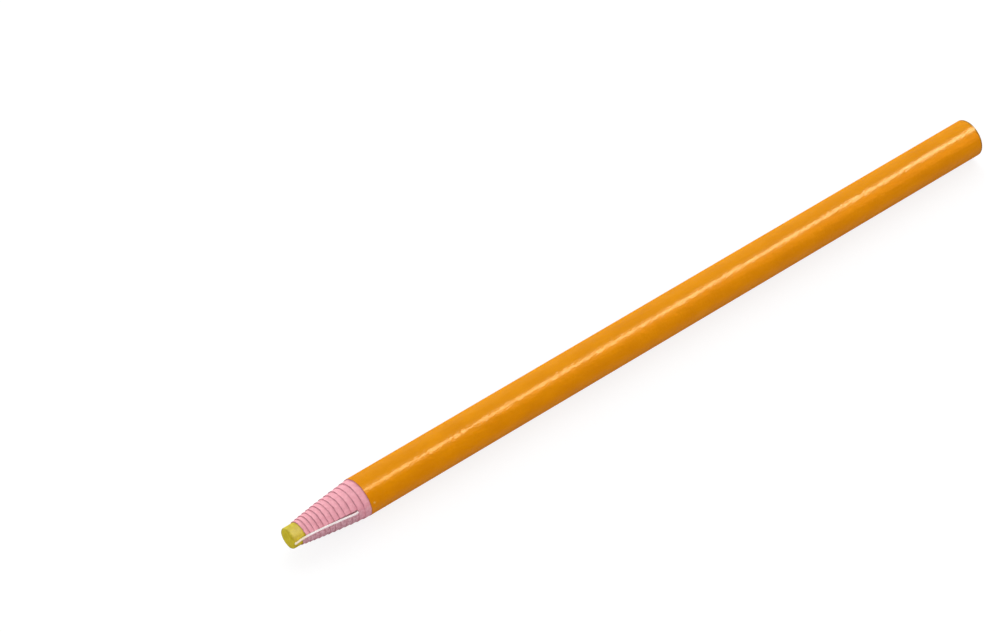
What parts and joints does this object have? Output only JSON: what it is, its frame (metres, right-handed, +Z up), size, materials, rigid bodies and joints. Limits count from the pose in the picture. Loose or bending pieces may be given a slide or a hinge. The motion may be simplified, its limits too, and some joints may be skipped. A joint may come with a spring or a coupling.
{
  "type": "tailor chalk pencil",
  "caption": "Round peel-off marking pencil: a chalk core in wound pink paper cut to a stepped cone, an orange lacquer coat, and a white pull string.",
  "frame": {"origin": "on the surface the pencil lies on, under the middle of its length", "axes": "+X along the pencil from the chalk tip to the rear end, +Z up out of the surface it lies on"},
  "size_m": [0.17, 0.008, 0.008],
  "materials": {
    "chalk": "matte waxy mustard-yellow chalk",
    "paper": "uncoated pink paper",
    "lacquer": "glossy orange lacquer",
    "string": "white twisted polyester thread"
  },
  "bodies": {
    "pencil": {"chalk_core": "chalk", "paper_turn_01": "paper", "paper_turn_02": "paper", "paper_turn_03": "paper", "paper_turn_04": "paper", "paper_turn_05": "paper", "paper_turn_06": "paper", "paper_turn_07": "paper", "paper_turn_08": "paper", "paper_turn_09": "paper", "paper_turn_10": "paper", "paper_turn_11": "paper", "paper_turn_12": "paper", "paper_turn_13": "paper", "barrel_coat": "lacquer", "pull_string": "string"},
    "string_tail": {"pull_string_tail": "string"}
  },
  "joints": [
    {"name": "string_lift", "type": "hinge", "parent": "pencil", "child": "string_tail", "pos_m": [-0.07208, -0.00357, 0.00535], "axis": [0, 0.3584, 0.9336], "range_deg": [0, 150]}
  ]
}
